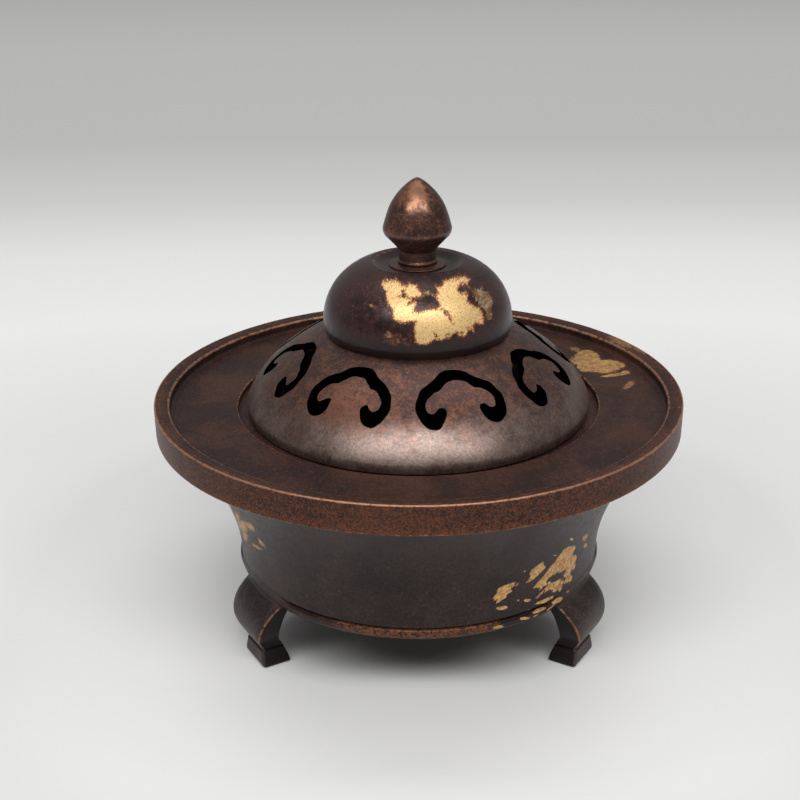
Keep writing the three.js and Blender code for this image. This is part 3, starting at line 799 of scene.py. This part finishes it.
# The sides and the inner face of a leg get near-black painted shade, darker than its front
LEG_SIDE_PAINTED_SHADE = -0.6
LEG_CORNER_STEPS = 4
LEG_FACE_STEPS = 8


def leg_section(height):
    """Outer and inner distance from the axis, and half width, at a height."""
    inner = reading(LEG_INNER, height)
    if height > PAD_TOP:
        height = max(height, LEG_FOOT)
        return reading(LEG_OUTER, height), inner, reading(LEG_WIDTH, height)
    height = min(height, PAD_EDGE)
    return reading(PAD_OUTER, height), inner, reading(PAD_WIDTH, height)


def leg_ring(height):
    """Points (outwards, across, wear) round a leg at a height."""
    outer, inner, half = leg_section(min(height, LEG_TOP))
    under = max(0, SOLE_ROUND - height) / SOLE_ROUND
    tuck = SOLE_ROUND * (1 - math.sqrt(1 - under ** 2))
    groove = GROOVE[2] * max(0.0, 1 - abs(height - GROOVE[0]) / GROOVE[1])
    outer, inner, half = outer - tuck - groove, inner + tuck, half - tuck - groove * 0.8
    bow = LEG_BOW * ease(height, 6, LEG_TOP)
    edge = LEG_EDGE_WEAR if 4.2 < height < 15.6 else PAD_EDGE_WEAR
    ring = []
    for k in range(LEG_FACE_STEPS + 1):
        y = -half + LEG_ROUND + (half - LEG_ROUND) * 2 * k / LEG_FACE_STEPS
        ring.append((outer - bow * (y / LEG_TOP_HALF) ** 2, y, 0))
    turns = [math.pi / 2 * k / LEG_CORNER_STEPS for k in range(1, LEG_CORNER_STEPS + 1)]
    front = outer - bow * (half / LEG_TOP_HALF) ** 2 - LEG_ROUND
    side = half - LEG_ROUND
    # The last turn of each front corner, the sides and the inner face are marked for painted shade
    for t in turns:
        wear = edge * math.sin(2 * t) ** 0.5 if t < turns[-1] else LEG_SIDE_PAINTED_SHADE
        ring.append((front + LEG_ROUND * math.cos(t), side + LEG_ROUND * math.sin(t), wear))
    for t in turns:
        ring.append((inner + LEG_ROUND * (1 - math.sin(t)), side + LEG_ROUND * math.cos(t), LEG_SIDE_PAINTED_SHADE))
    return ring + [(x, -y, w) for x, y, w in reversed(ring[LEG_FACE_STEPS + 1:])]


def make_leg(name, azimuth):
    levels = [16.9, 16.5, 16.2] + [LEG_TOP - 0.3 * i for i in range(40)] + [4.0, 3.9, 3.84, 3.8, 3.74, 3.6]
    levels += [PAD_EDGE - 0.28 * i for i in range(11)] + [0.3, 0.16, 0.07, 0.02, 0.0]
    turn = math.radians(azimuth - 90)
    corners, wears, rings = [], [], []
    for height in levels:
        ring = leg_ring(height)
        rings.append([len(corners) + i for i in range(len(ring))])
        for x, y, wear in ring:
            corners.append((x * math.cos(turn) - y * math.sin(turn), x * math.sin(turn) + y * math.cos(turn),
                            height))
            wears.append(wear)
    faces = bridged([ring[::-1] for ring in rings]) + [rings[0], rings[-1][::-1]]
    piece = new_piece(name + "_form", corners, faces, {"wear": wears})
    finish_piece(piece, "body", leg_patina, name)


# Lid

# The dome is this much fuller at its shoulder and leaner above it, up to a share of its rise
DOME_FULL = 0.3
DOME_LEAN = 0.26
DOME_TAPER = 0.3
DOME_LEAN_ENDS = (0.75, 0.93)
# How much higher up the shading of the shoulder is read, in radians
SHOULDER_SOFTNESS = 0.043
SHOULDER_ENDS = (0.4, 0.8)
NORMAL_STEP = 0.004
HALVINGS = 40


def dome_radius(rise, shrink=0.0):
    """Radius of the dome at a share of its rise."""
    plain = (DOME_RADIUS - shrink) * (1 - rise ** DOME_RISE_POWER) ** (1 / DOME_ROUND_POWER)
    taper = 1 - max(0.0, 1 - rise / DOME_TAPER) ** 2
    return plain + DOME_FULL - (DOME_FULL + DOME_LEAN) * taper + DOME_LEAN * ease(rise, *DOME_LEAN_ENDS)


def dome_point(azimuth, angle, shrink=0.0):
    """A point of the dome; the angle's sine is the share of the dome's rise."""
    rise = math.sin(angle)
    radius = dome_radius(rise, shrink)
    height = DOME_SHOULDER + (DOME_HEIGHT - shrink) * rise
    return Vector((radius * math.sin(azimuth), -radius * math.cos(azimuth), height))


def dome_normal(azimuth, angle, shrink=0.0):
    """Direction of the surface, read a little higher up so that the shoulder shades softly."""
    angle += SHOULDER_SOFTNESS * (1 - ease(math.sin(angle), *SHOULDER_ENDS))
    low, high = (dome_point(0, a, shrink) for a in (max(0.0, angle - NORMAL_STEP), angle + NORMAL_STEP))
    along = Vector((high.z - low.z, high.y - low.y)).normalized()
    return Vector((along.x * math.sin(azimuth), -along.x * math.cos(azimuth), along.y))


def dome_angle(radius, shrink=0.0):
    """The angle at which the dome has a radius."""
    low, high = 0.0, math.pi / 2
    for _ in range(HALVINGS):
        angle = (low + high) / 2
        if dome_radius(math.sin(angle), shrink) > radius:
            low = angle
        else:
            high = angle
    return angle


# Right half of a slot's edge: across, up
SLOT_EDGE = [
    (0, 6.15), (1.4, 5.95), (2.7, 5.3), (3.6, 4.5), (4.4, 3.85), (5.8, 3.1), (7, 2.2), (7.9, 1),
    (8.6, -0.5), (8.85, -2.2), (8.6, -4.1), (7.8, -5.5), (6.8, -6.3), (5.5, -6.45), (4.4, -5.7),
    (3.7, -4.6), (3.4, -3.5), (3.6, -2.8), (4.2, -2.4), (4.9, -2.8), (5.6, -3.3), (6.4, -3.3),
    (6.9, -2.5), (6.85, -1.2), (6.3, -0.2), (5.5, 0.6), (4.6, 1.05), (3.6, 1.3), (3, 1.85), (2.2, 2.65),
    (1.2, 3.25), (0, 3.4),
]
SLOT_SEED = 7
SLOT_SHAKE = 0.14
SLOT_NARROWER = 0.14
SLOT_SMOOTHING = 8
SLOT_POINT_SPACING = 0.32
SLOT_FILLET = 0.18
SLOT_UNDERCUT = 0.12
# Wear across the rounded edge of a slot; its last step, the cut wall below it and the dome's inner side get
# painted light, a flat lighter brown
SLOT_EDGE_WEAR_AND_PAINTED_LIGHT = (0.4, 0.9, 0.7, -1)
SLOT_WALL_PAINTED_LIGHT = -1
SLOT_ANGLE = dome_angle(SLOT_CENTRE_RADIUS)
SLOT_MIDDLE = dome_point(0, SLOT_ANGLE)
SLOT_ACROSS = Vector((1, 0, 0))
SLOT_UP = (dome_point(0, SLOT_ANGLE + 0.01) - dome_point(0, SLOT_ANGLE - 0.01)).normalized()
SLOT_AXIS = SLOT_ACROSS.cross(SLOT_UP)

# The dome is made in wedges with one slot each, laid out flat at the scale of this radius
WEDGE = 2 * math.pi / SLOT_COUNT
WEDGE_COLUMNS = 24
ARC_SCALE = 27.5
OUTER_SPACING = 0.85
INNER_SPACING = 1.6
ARC_STEPS = 200


def slot_outline(shaky):
    """The closed edge of a slot in the plane that touches the dome there, clockwise, evenly spaced."""
    def shake():
        return shaky.uniform(-SLOT_SHAKE, SLOT_SHAKE)

    ring = [(x + shake() * (x > 0), y + shake()) for x, y in SLOT_EDGE]
    ring += [(-x + shake(), y + shake()) for x, y in reversed(SLOT_EDGE[1:-1])]
    lead = 2 * SLOT_SMOOTHING
    smooth = spline(ring[-2:] + ring + ring[:3], SLOT_SMOOTHING)[lead:lead + SLOT_SMOOTHING * len(ring)]
    total = [0.0]
    for a, b in zip(smooth, smooth[1:] + smooth[:1]):
        total.append(total[-1] + math.dist(a, b))
    count = int(total[-1] / SLOT_POINT_SPACING)
    result, at = [], 0
    for k in range(count):
        want = total[-1] * k / count
        while total[at + 1] < want:
            at += 1
        a, b = smooth[at], smooth[(at + 1) % len(smooth)]
        t = (want - total[at]) / (total[at + 1] - total[at])
        result.append((a[0] + (b[0] - a[0]) * t, a[1] + (b[1] - a[1]) * t))
    return result


def pushed_out(outline, reach):
    """The outline moved outwards; it runs clockwise."""
    result = []
    for i, (x, y) in enumerate(outline):
        ahead, behind = outline[(i + 2) % len(outline)], outline[i - 2]
        along = Vector((ahead[0] - behind[0], ahead[1] - behind[1])).normalized()
        result.append((x - along.y * reach, y + along.x * reach))
    return result


def on_dome(x, y, shrink=0.0):
    """Azimuth and angle where the line through a point of the slot's plane meets the dome."""
    start = SLOT_MIDDLE + SLOT_ACROSS * x + SLOT_UP * y
    low, high = -8.0, 8.0
    for _ in range(HALVINGS):
        reach = (low + high) / 2
        point = start + SLOT_AXIS * reach
        rise = min(1.0, max(0.0, (point.z - DOME_SHOULDER) / (DOME_HEIGHT - shrink)))
        if math.hypot(point.x, point.y) < dome_radius(rise, shrink):
            low = reach
        else:
            high = reach
    return math.atan2(point.x, -point.y), math.asin(rise)


def near_ring(x, y, ring, reach):
    return any((x - a) ** 2 + (y - b) ** 2 < reach * reach for a, b in ring)


def wedge_border(side, levels):
    """Points round a wedge that is laid out flat, up to the sides and through the levels."""
    across = [-side + 2 * side * i / WEDGE_COLUMNS for i in range(WEDGE_COLUMNS)]
    return [*((x, 0.0) for x in across), *((side, level) for level in levels[:-1]),
            *((-x, levels[-1]) for x in across), *((-side, level) for level in reversed(levels[1:]))]


def wedge_filling(side, top, ring, spacing):
    """Evenly spaced points of a wedge that are clear of its slot."""
    points = []
    row, height = 0, spacing * 0.6
    while height < top - spacing * 0.4:
        across = -side + spacing * (0.75 if row % 2 else 1.2)
        while across < side - spacing * 0.5:
            place = (across, height)
            if not near_ring(*place, ring, spacing * 0.55) and not inside_ring(*place, ring):
                points.append(place)
            across += spacing
        height += spacing * 0.866
        row += 1
    return points


def dome_sheet(hole, shrink, spacing):
    """A wedge of the dome round a slot: (azimuth, slope) points, triangles, and the corners of the slot."""
    end = dome_angle(DOME_EYE, shrink)
    lengths = [0.0]
    for i in range(ARC_STEPS):
        a, b = (dome_point(0, end * k / ARC_STEPS, shrink) for k in (i, i + 1))
        lengths.append(lengths[-1] + (b - a).length)

    def length_at(slope):
        at = min(ARC_STEPS - 1e-6, max(0.0, slope / end * ARC_STEPS))
        i = int(at)
        return lengths[i] + (lengths[i + 1] - lengths[i]) * (at - i)

    def slope_at(length):
        low = 0
        while low < ARC_STEPS - 1 and lengths[low + 1] < length:
            low += 1
        t = (length - lengths[low]) / (lengths[low + 1] - lengths[low])
        return end * (low + min(1.0, max(0.0, t))) / ARC_STEPS

    ring = [(azimuth * ARC_SCALE, length_at(slope)) for azimuth, slope in hole]
    rows = max(4, round(lengths[-1] / spacing))
    side = WEDGE / 2 * ARC_SCALE
    border = wedge_border(side, [lengths[-1] * i / rows for i in range(rows + 1)])
    first, count = len(border), len(ring)
    edges = [(i, (i + 1) % first) for i in range(first)]
    edges += [(first + i, first + (i + 1) % count) for i in range(count)]
    points = [Vector(p) for p in [*border, *ring, *wedge_filling(side, lengths[-1], ring, spacing)]]
    out, _, triangles, origin, _, _ = geometry.delaunay_2d_cdt(points, edges, [], 1, 1e-6, True)

    def in_slot(triangle):
        middle = sum((out[v] for v in triangle), Vector((0, 0))) / len(triangle)
        return inside_ring(middle.x, middle.y, ring)

    places = [(p.x / ARC_SCALE, slope_at(p.y)) for p in out]
    where = {source - first: index for index, sources in enumerate(origin) for source in sources}
    return places, [t for t in triangles if not in_slot(t)], [where[i] for i in range(count)]


def turned_to(point, azimuth):
    c, s = math.cos(azimuth), math.sin(azimuth)
    return Vector((point.x * c - point.y * s, point.x * s + point.y * c, point.z))


class Shell:
    """Corners and faces of the dome, joined where its wedges meet."""

    def __init__(self):
        self.corners, self.faces, self.wears, self.normals = [], [], [], []
        self.seen = {}

    def add(self, point, normal, wear=0.0):
        key = tuple(round(v, 3) for v in point)
        if key not in self.seen:
            self.seen[key] = len(self.corners)
            self.corners.append(tuple(point))
            self.normals.append(tuple(normal))
            self.wears.append(wear)
        return self.seen[key]

    def add_wedge(self, azimuth, outline):
        """One wedge: the outer sheet, the slot's rounded edge and wall, and the inner sheet."""
        wide = pushed_out(outline, SLOT_FILLET)
        places, triangles, hole = dome_sheet([on_dome(x, y) for x, y in wide], 0, OUTER_SPACING)
        index = [self.add(turned_to(dome_point(a, s), azimuth), dome_normal(a + azimuth, s))
                 for a, s in places]
        self.faces.extend([index[v] for v in t] for t in triangles)
        rings = [[index[v] for v in hole]]
        inward = [(SLOT_ACROSS * (x0 - x1) + SLOT_UP * (y0 - y1)).normalized()
                  for (x0, y0), (x1, y1) in zip(outline, wide)]
        for step, wear in enumerate(SLOT_EDGE_WEAR_AND_PAINTED_LIGHT, 1):
            t = math.pi / 2 * step / len(SLOT_EDGE_WEAR_AND_PAINTED_LIGHT)
            ring = []
            for (x, y), side in zip(pushed_out(outline, SLOT_FILLET * (1 - math.sin(t))), inward):
                a, s = on_dome(x, y)
                point = dome_point(a, s) - SLOT_AXIS * SLOT_FILLET * (1 - math.cos(t))
                normal = dome_normal(a, s) * math.cos(t) + side * math.sin(t)
                ring.append(self.add(turned_to(point, azimuth), turned_to(normal, azimuth), wear))
            rings.append(ring)
        # The cut wall is marked for painted light
        ring = []
        for (x, y), side in zip(outline, inward):
            a, s = on_dome(x, y, DOME_WALL)
            point = dome_point(a, s, DOME_WALL) + SLOT_AXIS * SLOT_UNDERCUT
            ring.append(self.add(turned_to(point, azimuth), turned_to(side, azimuth), SLOT_WALL_PAINTED_LIGHT))
        rings.append(ring)
        # The inner sheet is marked for painted light too
        under = [on_dome(x, y, DOME_WALL) for x, y in pushed_out(outline, SLOT_UNDERCUT)]
        places, triangles, hole = dome_sheet(under, DOME_WALL, INNER_SPACING)
        index = [self.add(turned_to(dome_point(a, s, DOME_WALL), azimuth),
                          -dome_normal(a + azimuth, s, DOME_WALL), SLOT_WALL_PAINTED_LIGHT) for a, s in places]
        self.faces.extend([index[v] for v in reversed(t)] for t in triangles)
        rings.append([index[v] for v in hole])
        self.faces.extend(bridged(rings))

    def add_foot_and_eye(self, azimuths):
        """The rounded foot under the dome's outer and inner side, and the edge of the hole at its top."""
        foot = rounded([
            (DOME_RADIUS + DOME_FULL, DOME_SHOULDER), (DOME_RADIUS, DOME_FOOT, 0.3, 0.6),
            (DOME_RADIUS - DOME_WALL, DOME_FOOT, 0.2), (DOME_RADIUS + DOME_FULL - DOME_WALL, DOME_SHOULDER),
        ], 4, closed=False)
        foot_rings = [[self.add(Vector((radius * math.sin(a), -radius * math.cos(a), height)),
                                (-out * math.sin(a), out * math.cos(a), -up), wear) for a in azimuths]
                      for radius, height, (out, up), wear in foot]
        eye = [dome_point(0, dome_angle(DOME_EYE, wall), wall) for wall in (DOME_WALL, 0.0)]
        eye_rings = [[self.add(Vector((-p.y * math.sin(a), p.y * math.cos(a), p.z)), (0, 0, 1))
                      for a in azimuths] for p in eye]
        self.faces.extend(bridged(foot_rings, flip=True) + bridged(eye_rings, flip=True))


def make_dome():
    shaky = random.Random(SLOT_SEED)
    shell = Shell()
    around = []
    for k in range(SLOT_COUNT):
        azimuth = math.radians(SLOT_FIRST_AZIMUTH) + WEDGE * k
        shell.add_wedge(azimuth, pushed_out(slot_outline(shaky), -SLOT_NARROWER))
        around += [azimuth - WEDGE / 2 + WEDGE * i / WEDGE_COLUMNS for i in range(WEDGE_COLUMNS)]
    shell.add_foot_and_eye(around)
    piece = new_piece("lid_shell", shell.corners, shell.faces, {"wear": shell.wears}, shell.normals)
    finish_piece(piece, "lid", lid_patina, "lid_dome")


# The cap's curve runs up to this share of its rise, and its inner side up to this height
CAP_TOP_SHARE = 0.925
CAP_INNER_TOP = 77.5
CAP_ROWS = 84
CAP_INNER_ROWS = 24
# Leaf lies on this stretch of the cap's front
CAP_LEAF_ACROSS = (-10.5, 16)
CAP_LEAF_HEIGHT = (70, 82)


def dome_height(radius):
    return dome_point(0, dome_angle(radius)).z


def cap_radius(height, shrink=0.0):
    rise = min(1.0, max(0.0, (height - CAP_WAIST) / (CAP_RISE - shrink)))
    return (CAP_RADIUS - shrink) * (1 - rise ** CAP_RISE_POWER) ** (1 / CAP_ROUND_POWER)


def cap_outline(shrink, rows):
    top = (CAP_RISE - shrink) * CAP_TOP_SHARE
    heights = [CAP_WAIST + top * math.sin(math.pi / 2 * i / rows) for i in range(rows + 1)]
    return [(cap_radius(height, shrink), height) for height in heights]


def cap_leaf(x, y, z, leaves=CAP_LEAF, bare=CAP_BARE):
    in_reach = CAP_LEAF_ACROSS[0] < x < CAP_LEAF_ACROSS[1] and CAP_LEAF_HEIGHT[0] < z < CAP_LEAF_HEIGHT[1]
    if not in_reach or y >= 0 or math.hypot(x, y) <= cap_radius(z) - OUTER_SIDE:
        return -LEAF_REACH
    return leaf_depth(x, z, leaves, bare)


def cap_leaf_dull(x, y, z):
    return cap_leaf(x, y, z, CAP_LEAF_DULL, ())


def make_cap():
    inner = [p for p in cap_outline(CAP_WALL, CAP_INNER_ROWS) if p[1] < CAP_INNER_TOP]
    corners = [
        (19.0, dome_height(19.0) + 0.1, 0.35, 0.5), (19.4, 68.4), *cap_outline(0, CAP_ROWS),
        (8.9, 81.85, 0.5, 0.7), (7.8, 81.4), (6.9, 81.1, 0.2), (5.2, 81.0, 0.1), (5.2, 80.3), (1.8, 80.3),
        (1.8, 78.5), (6.1, 78.5, 0.5), *reversed(inner), (17.2, dome_height(17.2) + 0.1, 0.3),
    ]
    piece = turned("cap_shell", rounded(corners, 4), angles=closer_angles(208, -34, 58, 2.2),
                   leaf={"leaf": cap_leaf, "leaf_dull": cap_leaf_dull})
    finish_piece(piece, "lid", cap_patina, "lid_cap")


def make_collar():
    corners = [(1.8, 80.5), (5.05, 80.5, 0.1), (5.05, 81.08, 0.05), (5.8, 81.12, 0.05),
               (5.8, 81.28, 0.06, 0.9), (4.2, 81.5, 0.2), (1.8, 81.55)]
    piece = turned("collar", rounded(corners, 4), 128)
    finish_piece(piece, "lid", knob_patina, "knob_collar")


def make_knob():
    """The bud and its neck, with heights from the knob's foot."""
    bud = [(7.0, 6.9), (6.9, 7.5), (6.2, 9.9), (5.3, 12.1), (3.8, 14.3), (2.1, 16.0), (0.9, 16.9),
           (0, 17.3)]
    outline = [
        (1.8, 0), (4.05, 0, 0.12), (4.05, 0.4, 0.15, 0.8), (3.75, 0.6, 0.15), (3.72, 1.6), (3.76, 2.6, 0.2),
        (4.3, 3.3, 0.2, 0.2), (5.4, 4.5), (6.35, 5.5, 0.15), (6.55, 5.62, 0.1), (6.9, 6.25, 0.3),
        *spline(bud, 7), (0, 6.1), (1.8, 6.1),
    ]
    corners = [(p[0], p[1] + KNOB_FOOT, *p[2:]) for p in outline]
    piece = turned("bud", rounded(corners, 4), 128)
    finish_piece(piece, "lid", knob_patina, "knob")


def make_mat():
    corners = [(0, 21.3), (31.7, 21.3, 0.5), (31.9, 22.8, 0.9), (31.2, 24.2, 0.8), (0, 24.3)]
    piece = turned("mat", rounded(corners, 6, closed=False), 160, closed=False)
    finish_piece(piece, "insert", mineral, "fire_mat")


# Studio

# Painted shade of the floor at distances from the burner, in metres, with the nearest and the farthest
# first: a painted shadow just under the burner, then painted light falling off round it
FLOOR_PAINTED_LIGHT_AND_SHADOW = [
    (0.024, 0.60), (0.80, 0.71), (0.031, 0.92), (0.053, 0.97), (0.075, 0.88), (0.09, 0.82), (0.12, 0.83),
    (0.20, 0.96), (0.28, 0.91), (0.365, 0.74), (0.49, 0.63),
]
FLOOR_HALF = 6.0
AIM = (0, 0, 0.05)


def make_camera():
    data = bpy.data.cameras.new("camera")
    data.lens = CAMERA_LENS_MM
    data.sensor_width = SENSOR_MM
    camera = new_object("camera", data)
    turn = Matrix.Rotation(CAMERA_YAW, 4, "Z") @ Matrix.Rotation(math.pi / 2 - CAMERA_PITCH, 4, "X")
    turn = turn @ Matrix.Rotation(CAMERA_ROLL, 4, "Z")
    camera.matrix_world = Matrix.Translation(CAMERA_PLACE) @ turn
    bpy.context.scene.camera = camera


def make_floor():
    """A pale table top with painted light and shadow by distance from the burner: a painted shadow just
    under it, painted brighter and darker rings round it, and painted falloff to grey further out.
    """
    mesh = bpy.data.meshes.new("floor")
    corners = [(x * FLOOR_HALF, y * FLOOR_HALF, 0) for x, y in ((-1, -1), (1, -1), (1, 1), (-1, 1))]
    mesh.from_pydata(corners, [], [(0, 1, 2, 3)])
    floor = new_object("floor", mesh)
    look = Look("floor", 0.9)
    x, y, _ = look.axes()
    squares = look.plus(*(look.math("POWER", look.times(v, v), 2) for v in (x, y)))
    colour = look.add("ValToRGB", {"Fac": look.math("POWER", squares, 0.25)}, "Color")
    steps = colour.node.color_ramp.elements
    for i, (position, shade) in enumerate(FLOOR_PAINTED_LIGHT_AND_SHADOW):
        step = steps[i] if i < 2 else steps.new(position)
        step.position, step.color = position, (shade, shade, shade * 0.99, 1)
    mesh.materials.append(look.use(colour, None, None, look.noise(600, 3), 0.05))


def make_area_light(name, place, size, power):
    data = bpy.data.lights.new(name, "AREA")
    data.shape = "RECTANGLE"
    data.size, data.size_y = size
    data.energy = power
    light = new_object(name, data)
    light.location = place
    light.rotation_euler = (Vector(AIM) - Vector(place)).to_track_quat("-Z", "Y").to_euler()


def make_world():
    """Soft light from all round, stronger from above and from behind."""
    world = bpy.data.worlds.new("studio")
    bpy.context.scene.world = world
    world.use_nodes = True
    nodes = Nodes(world.node_tree, "Generated")
    _, y, z = nodes.axes()
    background = world.node_tree.nodes["Background"]
    background.inputs["Color"].default_value = (1, 1, 1, 1)
    strength = nodes.plus(nodes.ramp(z, 0.30, 0.95, 0.03, 0.15), nodes.ramp(y, -0.6, 0.4, 0.02, 0.26))
    nodes.put(background.inputs["Strength"], strength)


make_camera()
make_world()
make_floor()
make_area_light("key", (0, -1.29, 1.64), (3.0, 0.58), 38.5)
make_area_light("top", (0, 0.27, 2.02), (2.4, 0.30), 8.0)
make_bowl()
make_band()
make_tray()
for leg_name, leg_azimuth in LEG_AZIMUTHS.items():
    make_leg(leg_name, leg_azimuth)
make_dome()
make_cap()
make_collar()
make_knob()
make_mat()
bpy.context.scene.view_settings.view_transform = "Standard"
